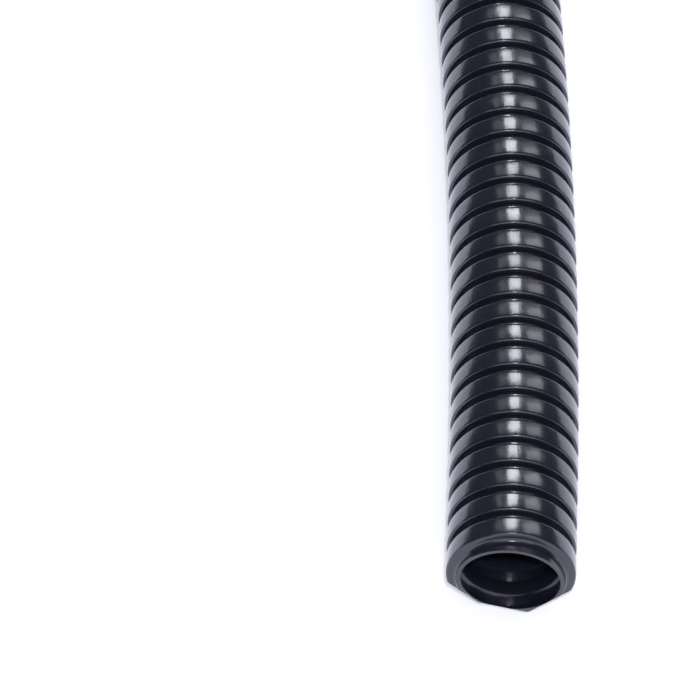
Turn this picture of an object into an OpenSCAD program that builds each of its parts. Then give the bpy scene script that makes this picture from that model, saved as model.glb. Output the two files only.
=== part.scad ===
// Corrugated conduit: one length of closed (unslit) nylon tube.
// Millimetres, +Z up. The tube lies flat, its underside on Z = 0. Most of it is straight and
// runs along +X. The last stretch before the mouth keeps the bow of the coil, towards +Y.

/* [Stock] */
// Outside diameter, over the crests
outer_d = 13; // [10:0.1:54]
// Clear bore, inside the grooves
bore_d = 10; // [6:0.1:48]
// Nominal cut length along the centreline; each cut falls in the nearest groove
stock_length = 1000; // [200:50:3000]

/* [Bow] */
// Radius of the bowed stretch, at the centreline
bow_radius = 810; // [200:10:5000]
// Crests in the bowed stretch
bow_crests = 25; // [1:1:60]
// Crests in the straight tip past it, where a fitting grips
tip_crests = 3; // [2:1:12]

/* [Corrugation] */
// Distance from one crest to the next
pitch = 3.2; // [2:0.1:8]
// Width of a crest over its flanks
crest_width = 2.2; // [1:0.1:6]
// Wall thickness
wall = 0.4; // [0.2:0.05:1]
// Rounding of the crest's outer corners
crest_round = 0.4; // [0.1:0.05:1]

/* [Mouth] */
// Slope of the main cut, its lower side cut back
cut_slope = 7.2; // [0:0.1:20]
// Turn of the main cut's deepest side, from straight down towards +Y
cut_turn = 23.5; // [-90:0.5:90]
// Depth of the main cut at the outside, from the middle of the last groove
cut_depth = 0.69; // [0.3:0.01:3]
// Slope of the slice that trims the lip
lip_slice_slope = 42.7; // [20:0.1:70]
// Turn of the lip's slice, from straight down
lip_slice_turn = 15; // [-45:1:45]
// Depth of the lip's slice at the outside
lip_slice_depth = 2; // [0:0.05:4]
// Slope of the two slices beside the lip
slice_slope = 49; // [20:1:70]
// Turn of the two slices, from straight down
left_slice_turn = 44; // [0:1:90]
right_slice_turn = -40; // [-90:1:0]
// Depth of the two slices at the outside
left_slice_depth = 1.95; // [0:0.05:4]
right_slice_depth = 1.8; // [0:0.05:4]

/* [Hidden] */
$fn = 48;
near_round_steps = 3;
far_round_steps = 1;

crest_r = outer_d / 2;
bore_r = bore_d / 2;
groove_r = bore_r + wall;
cavity_r = crest_r - wall;
cavity_width = crest_width - 2 * wall;
half_crest = crest_width / 2;
half_cavity = cavity_width / 2;
near_crests = tip_crests + bow_crests;
far_crests = floor(stock_length / pitch) - near_crests;
bow_length = bow_crests * pitch;
far_length = far_crests * pitch;
// The wall past the middle of the last groove, before it is cut
mouth_stub = cut_width() + pitch / 8;

// How far the main cut reaches past the middle of the last groove.
function cut_width() = 2 * crest_r * tan(cut_slope) - cut_depth;

// Puts its children at distance s along the centreline, which runs along +X there.
// s is 0 where the straight part begins, and negative towards the mouth.
module along(s) {
    bowed = max(-bow_length, min(0, s));
    translate([0, bow_radius, crest_r])
        rotate([0, 0, bowed / bow_radius * 180 / PI])
            translate([s - bowed, -bow_radius, 0])
                children();
}

// Distance along and radius of the points over a crest at x, with its two corners rounded.
function crest_top(x, steps) = [
    for (side = [-1, 1], k = [0:steps])
        let (a = 90 * (side < 0 ? k : steps - k) / steps)
        [x + side * (half_crest - crest_round * (1 - cos(a))), crest_r - crest_round * (1 - sin(a))],
];

// The outside of the straight part's wall from x = 0, and the inside back to it.
function far_outline() = [
    [0, groove_r],
    for (i = [0.5:far_crests])
        each concat(
            [[i * pitch - half_crest, groove_r]],
            crest_top(i * pitch, far_round_steps),
            [[i * pitch + half_crest, groove_r]]
        ),
    [far_length, groove_r],
    [far_length, bore_r],
    for (i = [far_crests - 0.5:-1:0])
        each [
            [i * pitch + half_cavity, bore_r],
            [i * pitch + half_cavity, cavity_r],
            [i * pitch - half_cavity, cavity_r],
            [i * pitch - half_cavity, bore_r],
        ],
    [0, bore_r],
];

// Turns an outline of (distance along, radius) points about the X axis.
module turned(points) {
    rotate([0, 90, 0])
        rotate_extrude()
            polygon([for (p = points) [p[1], p[0]]]);
}

// Round bars down the near grooves, each from inside one crest to inside the next.
// The bars at the mouth and at the straight part run past them by the given amount.
module groove_bars(r, past) {
    reach = pitch / 2 - cavity_width / 4;
    for (i = [0:near_crests]) {
        before = i == near_crests ? mouth_stub + past : reach;
        after = i == 0 ? past : reach;
        along(-i * pitch)
            translate([-before, 0, 0])
                rotate([0, 90, 0])
                    cylinder(r = r, h = before + after);
    }
}

module near_outside() {
    groove_bars(groove_r, 0);
    for (i = [0.5:near_crests])
        along(-i * pitch)
            turned(concat([[-half_crest, 0]], crest_top(0, near_round_steps), [[half_crest, 0]]));
}

module near_hollow() {
    groove_bars(bore_r, 1);
    for (i = [0.5:near_crests])
        along(-i * pitch)
            rotate([0, 90, 0])
                cylinder(r = cavity_r, h = cavity_width, center = true);
}

// Everything past a knife cut through the mouth. The cut has its depth at the outside,
// turned from straight down, and is less deep towards the opposite side.
module past_cut(turn, slope, depth) {
    reach = 2 * outer_d;
    along(-near_crests * pitch)
        rotate([turn, 0, 0])
            translate([depth, 0, -crest_r])
                rotate([0, -slope, 0])
                    translate([-reach, -reach, -reach])
                        cube([reach, 2 * reach, 2 * reach]);
}

module mouth_cuts() {
    past_cut(cut_turn, cut_slope, cut_depth);
    past_cut(lip_slice_turn, lip_slice_slope, lip_slice_depth);
    past_cut(left_slice_turn, slice_slope, left_slice_depth);
    past_cut(right_slice_turn, slice_slope, right_slice_depth);
}

module conduit() {
    // The middle of the length goes over the origin.
    translate([near_crests * pitch - (bow_length + tip_crests * pitch + far_length) / 2, 0, 0])
        color([0.07, 0.07, 0.09]) {
            difference() {
                near_outside();
                near_hollow();
                mouth_cuts();
            }
            translate([0, 0, crest_r])
                turned(far_outline());
        }
}

conduit();
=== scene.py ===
# One length of corrugated conduit: closed (unslit) black nylon tube, lying on a white table.
# Metres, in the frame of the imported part. The straight part runs along +X, on the table at Z = 0.
# The last stretch before the mouth, at the -X end, keeps the bow of the coil, towards +Y.

import math

import bmesh
import bpy
from mathutils import Matrix, Vector


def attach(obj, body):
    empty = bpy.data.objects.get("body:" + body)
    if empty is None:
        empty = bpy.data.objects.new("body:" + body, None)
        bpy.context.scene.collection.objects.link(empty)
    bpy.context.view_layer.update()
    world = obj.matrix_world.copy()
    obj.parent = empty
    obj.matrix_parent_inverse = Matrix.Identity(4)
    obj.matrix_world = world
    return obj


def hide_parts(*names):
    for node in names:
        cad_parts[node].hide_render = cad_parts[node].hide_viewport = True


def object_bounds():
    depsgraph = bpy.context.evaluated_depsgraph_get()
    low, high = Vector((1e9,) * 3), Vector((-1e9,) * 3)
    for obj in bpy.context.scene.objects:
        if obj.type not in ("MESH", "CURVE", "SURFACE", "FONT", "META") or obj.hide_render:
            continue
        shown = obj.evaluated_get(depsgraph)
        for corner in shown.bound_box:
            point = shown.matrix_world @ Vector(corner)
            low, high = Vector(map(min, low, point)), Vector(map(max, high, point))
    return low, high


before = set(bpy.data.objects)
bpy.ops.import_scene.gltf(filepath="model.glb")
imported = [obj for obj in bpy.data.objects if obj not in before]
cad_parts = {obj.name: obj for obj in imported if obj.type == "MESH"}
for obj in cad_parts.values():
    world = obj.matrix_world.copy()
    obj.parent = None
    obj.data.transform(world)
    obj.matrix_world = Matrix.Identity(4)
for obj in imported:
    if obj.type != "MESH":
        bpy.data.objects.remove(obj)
PART_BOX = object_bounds()

bl_info = {
    "name": "Corrugated conduit",
    "version": (1, 0, 0),
    "blender": (4, 5, 0),
    "location": "View3D > Sidebar > Conduit",
    "description": "A length of closed corrugated nylon tube with a bowed end and a hand-cut mouth",
    "category": "Add Mesh",
}

MM = 0.001
SAME = 0.004 * MM  # two places this near are one
FINE_SIDES, COARSE_SIDES = 56, 16  # around the tube, along the bow and past it
SMOOTH_ANGLE = math.radians(40)  # edges sharper than this stay crisp
LAMP_COLOUR = (0.91, 0.92, 1.0)  # a cool white
COOL_FILL = (0.89, 0.93, 1.18, 1)  # the table as gloss sees it
WHITE = (1, 1, 1, 1)


class ConduitStock(bpy.types.PropertyGroup):
    """The tube's own sizes."""

    outer_d: bpy.props.FloatProperty(
        name="Outside diameter",
        description="Over the crests",
        default=PART_BOX[1].z - PART_BOX[0].z,
        unit="LENGTH",
    )
    bore_d: bpy.props.FloatProperty(
        name="Bore",
        description="Clear width inside the grooves",
        default=10 * MM,
        unit="LENGTH",
    )
    wall: bpy.props.FloatProperty(
        name="Wall",
        description="Thickness of the moulded wall",
        default=0.4 * MM,
        unit="LENGTH",
    )
    pitch: bpy.props.FloatProperty(
        name="Pitch",
        description="Distance from one crest to the next",
        default=3.2 * MM,
        unit="LENGTH",
    )
    crest_width: bpy.props.FloatProperty(
        name="Crest width",
        description="Width of a crest over its flanks",
        default=2.2 * MM,
        unit="LENGTH",
    )
    crest_round: bpy.props.FloatProperty(
        name="Crest rounding",
        description="Radius of a crest's outer corners",
        default=0.26 * MM,
        unit="LENGTH",
    )
    crest_dome: bpy.props.FloatProperty(
        name="Crest swell",
        description="How far the middle of a crest stands above its edges",
        default=0.04 * MM,
        unit="LENGTH",
    )
    ridge_round: bpy.props.FloatProperty(
        name="Ridge rounding",
        description="Radius of the corners of the ridges inside the bore",
        default=0.2 * MM,
        unit="LENGTH",
    )
    root_round: bpy.props.FloatProperty(
        name="Root rounding",
        description="Radius of the corners down in the grooves",
        default=0.42 * MM,
        unit="LENGTH",
    )
    far_end: bpy.props.FloatProperty(
        name="Square end",
        description="Where the square-cut end stands along X",
        default=PART_BOX[1].x,
        unit="LENGTH",
    )
    far_crests: bpy.props.IntProperty(
        name="Straight crests",
        description="Crests in the straight part",
        default=284,
        min=1,
    )
    bow_crests: bpy.props.IntProperty(
        name="Bowed crests",
        description="Crests in the bowed stretch",
        default=25,
        min=1,
    )
    tip_crests: bpy.props.IntProperty(
        name="Tip crests",
        description="Crests in the straight tip past the bow",
        default=3,
        min=1,
    )
    bow_radius: bpy.props.FloatProperty(
        name="Bow radius",
        description="Radius of the bowed stretch, at the centreline",
        default=810 * MM,
        unit="LENGTH",
    )


class ConduitMouth(bpy.types.PropertyGroup):
    """The hand-made mouth: one slanted cut along the last groove, and three slices low down.

    The slices open the hollow of the last crest and leave a ring of wall in front of it.

    A turn goes from straight down towards +Y, to where a cut reaches deepest. A slope is from
    square. A depth is at the outside of the crests, from the middle of the last groove inwards."""

    stub: bpy.props.FloatProperty(
        name="Stub",
        description="Plain tube past the middle of the last groove, for the cuts to trim",
        default=1.5 * MM,
        unit="LENGTH",
    )
    pressed: bpy.props.FloatProperty(
        name="Pressed in",
        description="How far the blade has pressed the stub's end inwards",
        default=0.18 * MM,
        unit="LENGTH",
    )
    cut_turn: bpy.props.FloatProperty(
        name="Cut turn",
        description="Where around the tube it reaches deepest",
        default=math.radians(23.5),
        unit="ROTATION",
    )
    cut_slope: bpy.props.FloatProperty(
        name="Cut slope",
        description="How far it is from square",
        default=math.radians(7.2),
        unit="ROTATION",
    )
    cut_depth: bpy.props.FloatProperty(
        name="Cut depth",
        description="How deep it reaches",
        default=0.69 * MM,
        unit="LENGTH",
    )
    lip_turn: bpy.props.FloatProperty(
        name="Lip slice turn",
        description="Where around the tube it reaches deepest",
        default=math.radians(15),
        unit="ROTATION",
    )
    lip_slope: bpy.props.FloatProperty(
        name="Lip slice slope",
        description="How far it is from square",
        default=math.radians(42.7),
        unit="ROTATION",
    )
    lip_depth: bpy.props.FloatProperty(
        name="Lip slice depth",
        description="How deep it reaches",
        default=2.0 * MM,
        unit="LENGTH",
    )
    left_turn: bpy.props.FloatProperty(
        name="Left slice turn",
        description="Where around the tube it reaches deepest",
        default=math.radians(44),
        unit="ROTATION",
    )
    left_slope: bpy.props.FloatProperty(
        name="Left slice slope",
        description="How far it is from square",
        default=math.radians(49),
        unit="ROTATION",
    )
    left_depth: bpy.props.FloatProperty(
        name="Left slice depth",
        description="How deep it reaches",
        default=1.95 * MM,
        unit="LENGTH",
    )
    right_turn: bpy.props.FloatProperty(
        name="Right slice turn",
        description="Where around the tube it reaches deepest",
        default=math.radians(-40),
        unit="ROTATION",
    )
    right_slope: bpy.props.FloatProperty(
        name="Right slice slope",
        description="How far it is from square",
        default=math.radians(49),
        unit="ROTATION",
    )
    right_depth: bpy.props.FloatProperty(
        name="Right slice depth",
        description="How deep it reaches",
        default=1.8 * MM,
        unit="LENGTH",
    )


class ConduitFinish(bpy.types.PropertyGroup):
    """The nylon's look."""

    colour: bpy.props.StringProperty(
        name="Colour",
        description="The nylon's own colour, as an sRGB hex value",
        default="#1B1B27",
    )
    roughness: bpy.props.FloatProperty(
        name="Roughness",
        description="How dull the moulded skin is",
        default=0.2,
        subtype="FACTOR",
        min=0,
        max=1,
    )


class ConduitStage(bpy.types.PropertyGroup):
    """The table, lamps and camera around the tube."""

    table_colour: bpy.props.StringProperty(
        name="Table colour",
        description="The table's colour, as an sRGB hex value",
        default="#F4F4F8",
    )
    camera_distance: bpy.props.FloatProperty(
        name="Camera distance",
        description="From the camera to the point that it looks at",
        default=848 * MM,
        unit="LENGTH",
    )
    camera_height: bpy.props.FloatProperty(
        name="Camera elevation",
        description="How far above the horizon the camera stands",
        default=math.radians(48.244),
        unit="ROTATION",
    )
    camera_turn: bpy.props.FloatProperty(
        name="Camera turn",
        description="The camera's heading, from +X towards +Y",
        default=math.radians(-3.673),
        unit="ROTATION",
    )
    lens: bpy.props.FloatProperty(
        name="Lens",
        description="Focal length on a 36 mm sensor, in millimetres",
        default=430.6,
    )


# ---- Small helpers ----


def linear(hex_colour):
    """An sRGB hex value as linear RGBA."""
    parts = [int(hex_colour[i : i + 2], 16) / 255 for i in (1, 3, 5)]
    return [c / 12.92 if c <= 0.04045 else ((c + 0.055) / 1.055) ** 2.4 for c in parts] + [1.0]


def deselect_all():
    for piece in bpy.context.selected_objects:
        piece.select_set(False)


def only(piece):
    """Makes this the one selected and active piece."""
    deselect_all()
    piece.select_set(True)
    bpy.context.view_layer.objects.active = piece


def edit(piece, kind="EDGE"):
    """Opens edit mode with nothing selected, and returns the mesh to select from."""
    only(piece)
    bpy.ops.object.mode_set(mode="EDIT")
    bpy.context.tool_settings.mesh_select_mode = (kind == "VERT", kind == "EDGE", kind == "FACE")
    bpy.ops.mesh.select_all(action="DESELECT")
    return bmesh.from_edit_mesh(piece.data)


def done():
    bpy.ops.object.mode_set(mode="OBJECT")


def select_edges(piece, mesh, wanted):
    """Selects the edges for which wanted(edge) is true, and says how many there are."""
    count = 0
    for edge in mesh.edges:
        if wanted(edge):
            edge.select_set(True)
            count += 1
    bmesh.update_edit_mesh(piece.data)
    return count


def apply_modifier(piece, kind, **settings):
    only(piece)
    modifier = piece.modifiers.new(kind.title(), kind)
    for key, value in settings.items():
        setattr(modifier, key, value)
    bpy.ops.object.modifier_apply(modifier=modifier.name)


def join(pieces):
    only(pieces[0])
    for piece in pieces[1:]:
        piece.select_set(True)
    bpy.ops.object.join()
    return pieces[0]


# ---- The tube ----


def make_wave(
    name, sides, low_r, high_r, high_width, pitch, height, dome, corners, roots, segments
):
    """One open wave of skin from X = 0 to X = pitch: half a groove, a crest and half a groove.

    The crest's flat swells by dome towards its middle. corners and roots are the radii of its
    rounded corners, or 0 to leave them sharp."""
    deselect_all()
    bpy.ops.mesh.primitive_circle_add(
        vertices=sides,
        radius=low_r,
        fill_type="NOTHING",
        location=(0, 0, height),
        rotation=(0, math.pi / 2, 0),
    )
    piece = bpy.context.object
    piece.name = piece.data.name = name
    bpy.ops.object.transform_apply(location=True, rotation=True, scale=True)
    edit(piece, "VERT")
    bpy.ops.mesh.select_all(action="SELECT")
    groove = pitch - high_width
    over = [(high_width, high_r)]
    if dome:
        over = [(high_width / 2, high_r), (high_width / 2, high_r - dome)]
    at, r = 0, low_r
    for length, to_r in (
        (groove / 2, low_r),
        (0, high_r - dome),
        *over,
        (0, low_r),
        (groove / 2, low_r),
    ):
        bpy.ops.mesh.extrude_region_move(TRANSFORM_OT_translate={"value": (length, 0, 0)})
        at += length
        if to_r != r:
            k = to_r / r
            bpy.ops.transform.resize(value=(1, k, k), center_override=(at, 0, height))
            r = to_r
    done()
    for radius, loop_r in ((corners, high_r - dome), (roots, low_r)):
        if radius:
            round_loops(piece, radius, loop_r, height, segments)
    return piece


def radius_of(vertex, height):
    return math.hypot(vertex.co.y, vertex.co.z - height)


def round_loops(piece, radius, loop_r, height, segments):
    """Rounds a wave's corner loops, which lie at loop_r around the axis."""

    def wanted(edge):
        a, b = edge.verts
        return (
            len(edge.link_faces) == 2
            and abs(a.co.x - b.co.x) < SAME
            and abs(radius_of(a, height) - loop_r) < SAME
            and abs(radius_of(b, height) - loop_r) < SAME
        )

    mesh = edit(piece)
    if not select_edges(piece, mesh, wanted):
        raise RuntimeError("the wave has no corner loops to round")
    bpy.ops.mesh.bevel(
        offset=radius, offset_type="OFFSET", segments=segments, profile=0.5, affect="EDGES"
    )
    done()


def make_skin(name, stock, inside, sides, crests, start, dome, corners, roots, segments):
    """A run of waves along X from start, as the outside or the inside of the wall."""
    height = stock.outer_d / 2
    in_by = stock.wall if inside else 0
    skin = make_wave(
        name,
        sides,
        stock.bore_d / 2 + stock.wall - in_by,
        stock.outer_d / 2 - in_by,
        stock.crest_width - 2 * in_by,
        stock.pitch,
        height,
        dome,
        corners,
        roots,
        segments,
    )
    apply_modifier(
        skin,
        "ARRAY",
        count=crests,
        use_relative_offset=False,
        use_constant_offset=True,
        constant_offset_displace=(stock.pitch, 0, 0),
        use_merge_vertices=True,
        merge_threshold=SAME,
    )
    move(skin, (start, 0, 0))
    if inside:
        edit(skin, "FACE")
        bpy.ops.mesh.select_all(action="SELECT")
        bpy.ops.mesh.flip_normals()
        done()
    return skin


def move(piece, offset):
    """Moves a mesh, and leaves its object at the origin."""
    only(piece)
    bpy.ops.transform.translate(value=offset)
    bpy.ops.object.transform_apply(location=True, rotation=True, scale=True)


def bridge(piece, wanted):
    mesh = edit(piece)
    if not select_edges(piece, mesh, wanted):
        raise RuntimeError("there are no open edges to bridge")
    bpy.ops.mesh.bridge_edge_loops()
    done()


def mouth_planes(stock, mouth):
    """(a point, the outward normal) of each cut at the mouth, before the tube is moved along X."""
    radius = stock.outer_d / 2
    turned = bow_matrix(stock, -(stock.bow_crests + stock.tip_crests) * stock.pitch)
    planes = []
    for turn, slope, depth in (
        (mouth.cut_turn, mouth.cut_slope, mouth.cut_depth),
        (mouth.lip_turn, mouth.lip_slope, mouth.lip_depth),
        (mouth.left_turn, mouth.left_slope, mouth.left_depth),
        (mouth.right_turn, mouth.right_slope, mouth.right_depth),
    ):
        down = Vector((0, math.sin(turn), -math.cos(turn)))
        point = turned @ (Vector((depth, 0, 0)) + down * radius) + Vector((0, 0, radius))
        outward = Vector((-math.cos(slope), 0, 0)) + down * math.sin(slope)
        planes.append((point, turned.to_3x3() @ outward))
    return planes


def bow_matrix(stock, s):
    """Carries the origin to distance s along the bowed centreline, which starts at X = 0."""
    bowed = max(-stock.bow_crests * stock.pitch, min(0, s))
    centre = Vector((0, stock.bow_radius, 0))
    return (
        Matrix.Translation(centre)
        @ Matrix.Rotation(bowed / stock.bow_radius, 4, "Z")
        @ Matrix.Translation(Vector((s - bowed, 0, 0)) - centre)
    )


def make_tube(stock, mouth):
    """The whole tube as one closed mesh: fine waves along the bow and coarse ones past it."""
    height = stock.outer_d / 2
    near = stock.bow_crests + stock.tip_crests
    skins = []
    for inside in (False, True):
        close = make_skin(
            "inner_skin" if inside else "outer_skin",
            stock,
            inside,
            FINE_SIDES,
            near,
            -near * stock.pitch,
            0 if inside else stock.crest_dome,
            0 if inside else stock.crest_round,
            stock.ridge_round if inside else stock.root_round,
            2 if inside else 3,
        )
        low_r = stock.bore_d / 2 + (0 if inside else stock.wall)
        lengthen(close, -near * stock.pitch, mouth.stub, 1 - mouth.pressed / low_r, height)
        far = make_skin(
            "far_skin",
            stock,
            inside,
            COARSE_SIDES,
            stock.far_crests,
            0,
            0,
            0 if inside else stock.crest_round,
            0,
            1,
        )
        # The coarse loop at the joint steps back, so that the two are bridged along the groove.
        mesh = edit(far, "VERT")
        for vertex in mesh.verts:
            if abs(vertex.co.x) < SAME:
                vertex.select_set(True)
        bmesh.update_edit_mesh(far.data)
        bpy.ops.transform.translate(value=(stock.wall / 2, 0, 0))
        done()
        bend_tip(close, stock, near * stock.pitch + mouth.stub)
        skin = join([close, far])
        joint = stock.wall / 2 + SAME

        def at_joint(edge):
            return edge.is_boundary and all(-SAME < v.co.x < joint for v in edge.verts)

        bridge(skin, at_joint)
        skins.append(skin)
    tube = join(skins)
    end = stock.far_crests * stock.pitch
    bridge(tube, lambda edge: edge.is_boundary and all(v.co.x > end / 2 for v in edge.verts))
    bridge(tube, lambda edge: edge.is_boundary and all(v.co.x < 0 for v in edge.verts))
    for point, normal in mouth_planes(stock, mouth):
        edit(tube, "FACE")
        bpy.ops.mesh.select_all(action="SELECT")
        bpy.ops.mesh.bisect(
            plane_co=point, plane_no=normal, use_fill=True, clear_outer=True, threshold=SAME / 10
        )
        done()
    edit(tube, "FACE")
    bpy.ops.mesh.select_all(action="SELECT")
    bpy.ops.mesh.normals_make_consistent(inside=False)
    done()
    move(tube, (stock.far_end - end, 0, 0))
    tube.name = tube.data.name = "conduit_tube"
    only(tube)
    bpy.ops.object.shade_smooth_by_angle(angle=SMOOTH_ANGLE)
    apply_modifier(tube, "WEIGHTED_NORMAL", keep_sharp=True)
    return tube


def lengthen(skin, x, stub, shrink, height):
    """Draws the open loop at x out along -X as plain tube, whose end is a little narrower."""
    mesh = edit(skin)
    if not select_edges(
        skin, mesh, lambda edge: all(abs(v.co.x - x) < SAME for v in edge.verts)
    ):
        raise RuntimeError("the skin has no open loop to draw out")
    bpy.ops.mesh.extrude_region_move(TRANSFORM_OT_translate={"value": (-stub, 0, 0)})
    bpy.ops.transform.resize(
        value=(1, shrink, shrink), center_override=(x - stub, 0, height)
    )
    done()


def bend_tip(piece, stock, run):
    """Bows the last run of a skin that ends at X = 0 towards +Y, apart from its straight tip."""
    bow = stock.bow_crests * stock.pitch
    apply_modifier(
        piece,
        "SIMPLE_DEFORM",
        deform_method="BEND",
        deform_axis="Z",
        angle=bow / stock.bow_radius,
        limits=(1 - bow / run, 1.0),
    )


# ---- Finishes ----


def add_node(tree, kind, settings=None, inputs=None):
    """Adds a node, sets its settings, and fills its inputs with values or links."""
    node = tree.nodes.new(kind)
    for key, value in (settings or {}).items():
        setattr(node, key, value)
    for key, value in (inputs or {}).items():
        if isinstance(value, bpy.types.NodeSocket):
            tree.links.new(value, node.inputs[key])
        else:
            node.inputs[key].default_value = value
    return node


def new_material(name):
    material = bpy.data.materials.new(name)
    material.use_nodes = True
    material.node_tree.nodes.clear()
    return material, material.node_tree


def moulded_nylon(finish):
    """Black PA6 nylon, vacuum-moulded on a corrugator: a near-black skin with a cold tint and
    a plain polymer gloss, which the mould leaves a little uneven from wave to wave."""
    material, tree = new_material("moulded black nylon")
    place = add_node(tree, "ShaderNodeTexCoord").outputs["Object"]
    # The mould's faint unevenness, some 2.5 mm across.
    drift = add_node(
        tree,
        "ShaderNodeTexNoise",
        inputs={"Vector": place, "Scale": 1 / (2.5 * MM), "Detail": 2.0, "Roughness": 0.5},
    )
    # Fine draw lines of the die, 0.5 mm apart around the tube and long along it.
    stretched = add_node(
        tree, "ShaderNodeMapping", inputs={"Vector": place, "Scale": (0.08, 1.0, 1.0)}
    )
    drawn = add_node(
        tree,
        "ShaderNodeTexNoise",
        inputs={"Vector": stretched.outputs[0], "Scale": 1 / (0.5 * MM), "Detail": 1.0},
    )
    dull = add_node(
        tree,
        "ShaderNodeMapRange",
        inputs={
            "Value": drift.outputs["Fac"],
            "From Min": 0.3,
            "From Max": 0.7,
            "To Min": finish.roughness * 0.8,
            "To Max": finish.roughness * 1.3,
        },
    )
    deep = linear(finish.colour)
    paler = [min(1.0, c * 1.35) for c in deep[:3]] + [1.0]
    tint = add_node(
        tree,
        "ShaderNodeMix",
        settings={"data_type": "RGBA"},
        inputs={0: drawn.outputs["Fac"], 6: deep, 7: paler},
    )
    waviness = add_node(
        tree,
        "ShaderNodeBump",
        inputs={"Height": drift.outputs["Fac"], "Distance": 0.05 * MM, "Strength": 1.0},
    )
    lines = add_node(
        tree,
        "ShaderNodeBump",
        inputs={
            "Height": drawn.outputs["Fac"],
            "Distance": 0.008 * MM,
            "Strength": 1.0,
            "Normal": waviness.outputs[0],
        },
    )
    skin = add_node(
        tree,
        "ShaderNodeBsdfPrincipled",
        inputs={
            "Base Color": tint.outputs[2],
            "Roughness": dull.outputs[0],
            "IOR": 1.53,
            "Coat Weight": 0.12,
            "Coat Roughness": 0.05,
            "Normal": lines.outputs[0],
            "Coat Normal": lines.outputs[0],
        },
    )
    add_node(tree, "ShaderNodeOutputMaterial", inputs={"Surface": skin.outputs[0]})
    return material


def table_paper(stage):
    """Matt white paper under even light. To the lens and in gloss it is topped up to plain
    white, and the tube's own shadow stays on it."""
    material, tree = new_material("white table paper")
    rays = add_node(tree, "ShaderNodeLightPath")
    mirrored = add_node(
        tree,
        "ShaderNodeMath",
        settings={"operation": "MAXIMUM"},
        inputs={0: rays.outputs["Is Glossy Ray"], 1: rays.outputs["Is Transmission Ray"]},
    )
    glow = add_node(
        tree,
        "ShaderNodeMath",
        settings={"operation": "MULTIPLY"},
        inputs={0: mirrored.outputs[0], 1: 0.75},
    )
    glow = add_node(
        tree,
        "ShaderNodeMath",
        settings={"operation": "MULTIPLY_ADD"},
        inputs={0: rays.outputs["Is Camera Ray"], 1: 0.31, 2: glow.outputs[0]},
    )
    colour = linear(stage.table_colour)
    paper = add_node(tree, "ShaderNodeBsdfDiffuse", inputs={"Color": colour, "Roughness": 1.0})
    tint = add_node(
        tree,
        "ShaderNodeMix",
        settings={"data_type": "RGBA"},
        inputs={0: rays.outputs["Is Camera Ray"], 6: COOL_FILL, 7: WHITE},
    )
    fill = add_node(
        tree,
        "ShaderNodeEmission",
        inputs={"Color": tint.outputs[2], "Strength": glow.outputs[0]},
    )
    both = add_node(tree, "ShaderNodeAddShader", inputs={0: paper.outputs[0], 1: fill.outputs[0]})
    add_node(tree, "ShaderNodeOutputMaterial", inputs={"Surface": both.outputs[0]})
    return material


def grey_card(name, strength):
    """A plain grey card that only gloss sees."""
    material, tree = new_material(name)
    glow = add_node(tree, "ShaderNodeEmission", inputs={"Color": WHITE, "Strength": strength})
    add_node(tree, "ShaderNodeOutputMaterial", inputs={"Surface": glow.outputs[0]})
    return material


# ---- Operators ----


class CONDUIT_OT_tube(bpy.types.Operator):
    """Make the corrugated tube and stand it for the part's solid"""

    bl_idname = "conduit.tube"
    bl_label = "Corrugated tube"

    def execute(self, context):
        scene = context.scene
        tube = make_tube(scene.conduit_stock, scene.conduit_mouth)
        tube.data.materials.clear()
        tube.data.materials.append(moulded_nylon(scene.conduit_finish))
        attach(tube, "root")
        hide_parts("conduit")
        return {"FINISHED"}


def aim_point(stock):
    """The point that the camera looks at: beside the mouth, as high as the tube's axis."""
    near = (stock.bow_crests + stock.tip_crests) * stock.pitch
    start = stock.far_end - stock.far_crests * stock.pitch
    mouth_centre = bow_matrix(stock, -near) @ Vector((0, 0, 0))
    return mouth_centre + Vector((start + 31.4 * MM, 13.9 * MM, stock.outer_d / 2))


def soft_box(name, target, direction, distance, width, height, radiance, along=(0, 1, 0)):
    """A plain rectangular lamp that faces the target from a direction, with its width running
    along the given way. Its power gives it the radiance asked for, whatever its size."""
    deselect_all()
    back = Vector(direction).normalized()
    bpy.ops.object.light_add(type="AREA", location=target + back * distance)
    lamp = bpy.context.object
    lamp.name = name
    side = Vector(along)
    side = (side - back * side.dot(back)).normalized()
    lamp.rotation_euler = Matrix((side, back.cross(side), back)).transposed().to_euler()
    lamp.data.color = LAMP_COLOUR
    lamp.data.shape = "RECTANGLE"
    lamp.data.size, lamp.data.size_y = width, height
    lamp.data.energy = radiance * math.pi * width * height
    lamp.visible_camera = False
    return lamp


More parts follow.
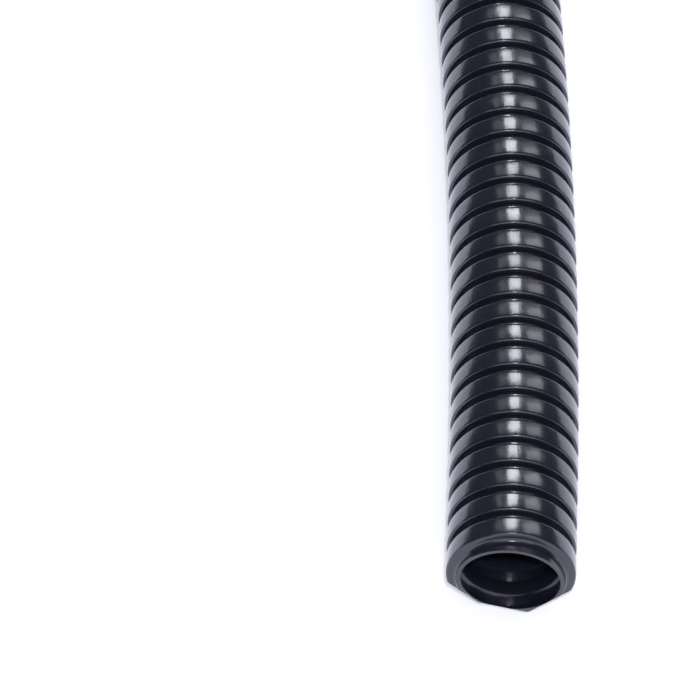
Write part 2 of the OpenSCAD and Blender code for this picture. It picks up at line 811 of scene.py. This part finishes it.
class CONDUIT_OT_stage(bpy.types.Operator):
    """Make the table, the lamps, the world and the camera"""

    bl_idname = "conduit.stage"
    bl_label = "Table, lamps and camera"

    def execute(self, context):
        scene = context.scene
        stock, stage = scene.conduit_stock, scene.conduit_stage
        aim = aim_point(stock)

        deselect_all()
        bpy.ops.mesh.primitive_plane_add(size=80, location=(0, 0, -0.02 * MM))
        table = bpy.context.object
        table.name = table.data.name = "table"
        table.data.materials.append(table_paper(stage))

        # A grey ceiling that only gloss sees, so that the skin stays dark between its highlights.
        deselect_all()
        bpy.ops.mesh.primitive_plane_add(size=70, location=(0, 0, 2.6))
        ceiling = bpy.context.object
        ceiling.name = ceiling.data.name = "ceiling"
        ceiling.data.materials.append(grey_card("grey ceiling", 0.1))
        for ray in ("camera", "diffuse", "transmission", "volume_scatter", "shadow"):
            setattr(ceiling, "visible_" + ray, False)

        # Each lamp stands where the crests mirror it as one of the lengthwise highlights.
        soft_box("key_lamp", aim, (0.68, -0.065, 0.735), 2.0, 0.46, 0.55, 15.0)
        soft_box("key_edge_lamp", aim, (0.665, 0.23, 0.69), 2.0, 0.30, 0.5, 1.4)
        soft_box("side_lamp", aim, (0.665, -0.46, 0.58), 2.0, 0.85, 0.5, 0.9, (0, -1, -1))
        soft_box("side_spot", aim, (0.58, -0.50, 0.64), 2.0, 0.75, 0.4, 3.6, (0, -1, -1))
        soft_box("fill_lamp", aim, (-0.80, 0.0, 0.60), 1.4, 1.6, 1.2, 1.0)
        soft_box("mouth_lamp", aim, (-0.95, 0.0, 0.30), 1.2, 1.0, 0.4, 2.2)
        soft_box("spark_lamp", aim, (-0.62, 0.02, 0.78), 1.2, 0.03, 0.03, 1500.0)

        world = bpy.data.worlds.new("even light")
        scene.world = world
        world.use_nodes = True
        tree = world.node_tree
        tree.nodes.clear()
        rays = add_node(tree, "ShaderNodeLightPath")
        seen = add_node(
            tree,
            "ShaderNodeMath",
            settings={"operation": "MAXIMUM"},
            inputs={0: rays.outputs["Is Camera Ray"], 1: rays.outputs["Is Glossy Ray"]},
        )
        seen = add_node(
            tree,
            "ShaderNodeMath",
            settings={"operation": "MAXIMUM"},
            inputs={0: seen.outputs[0], 1: rays.outputs["Is Transmission Ray"]},
        )
        strength = add_node(
            tree,
            "ShaderNodeMapRange",
            inputs={"Value": seen.outputs[0], "To Min": 0.3, "To Max": 1.0},
        )
        back = add_node(
            tree,
            "ShaderNodeBackground",
            inputs={"Color": WHITE, "Strength": strength.outputs[0]},
        )
        add_node(tree, "ShaderNodeOutputWorld", inputs={"Surface": back.outputs[0]})

        e, a = stage.camera_height, stage.camera_turn
        forward = Vector((math.cos(e) * math.cos(a), math.cos(e) * math.sin(a), -math.sin(e)))
        deselect_all()
        bpy.ops.object.camera_add(location=aim - forward * stage.camera_distance)
        camera = bpy.context.object
        camera.name = "camera"
        camera.rotation_euler = forward.to_track_quat("-Z", "Y").to_euler()
        camera.data.sensor_width = 36
        camera.data.lens = stage.lens
        camera.data.clip_start, camera.data.clip_end = 0.01, 200
        scene.camera = camera
        scene.view_settings.view_transform = "Standard"
        return {"FINISHED"}


class CONDUIT_PT_panel(bpy.types.Panel):
    """Lists the sizes and the steps"""

    bl_idname = "CONDUIT_PT_panel"
    bl_label = "Corrugated conduit"
    bl_space_type = "VIEW_3D"
    bl_region_type = "UI"
    bl_category = "Conduit"

    def draw(self, context):
        for title, name in SETTINGS:
            box = self.layout.box()
            box.label(text=title)
            settings = getattr(context.scene, name)
            for key in settings.__annotations__:
                box.prop(settings, key)
        self.layout.operator(CONDUIT_OT_tube.bl_idname)
        self.layout.operator(CONDUIT_OT_stage.bl_idname)


SETTINGS = (
    ("Stock", "conduit_stock"),
    ("Mouth", "conduit_mouth"),
    ("Finish", "conduit_finish"),
    ("Stage", "conduit_stage"),
)
GROUPS = (ConduitStock, ConduitMouth, ConduitFinish, ConduitStage)
CLASSES = (CONDUIT_OT_tube, CONDUIT_OT_stage, CONDUIT_PT_panel)


def register():
    for cls in GROUPS + CLASSES:
        bpy.utils.register_class(cls)
    for (_, name), group in zip(SETTINGS, GROUPS):
        setattr(bpy.types.Scene, name, bpy.props.PointerProperty(type=group))


def unregister():
    for _, name in SETTINGS:
        delattr(bpy.types.Scene, name)
    for cls in reversed(GROUPS + CLASSES):
        bpy.utils.unregister_class(cls)


def main():
    register()
    bpy.ops.conduit.tube()
    bpy.ops.conduit.stage()


if __name__ == "__main__":
    main()
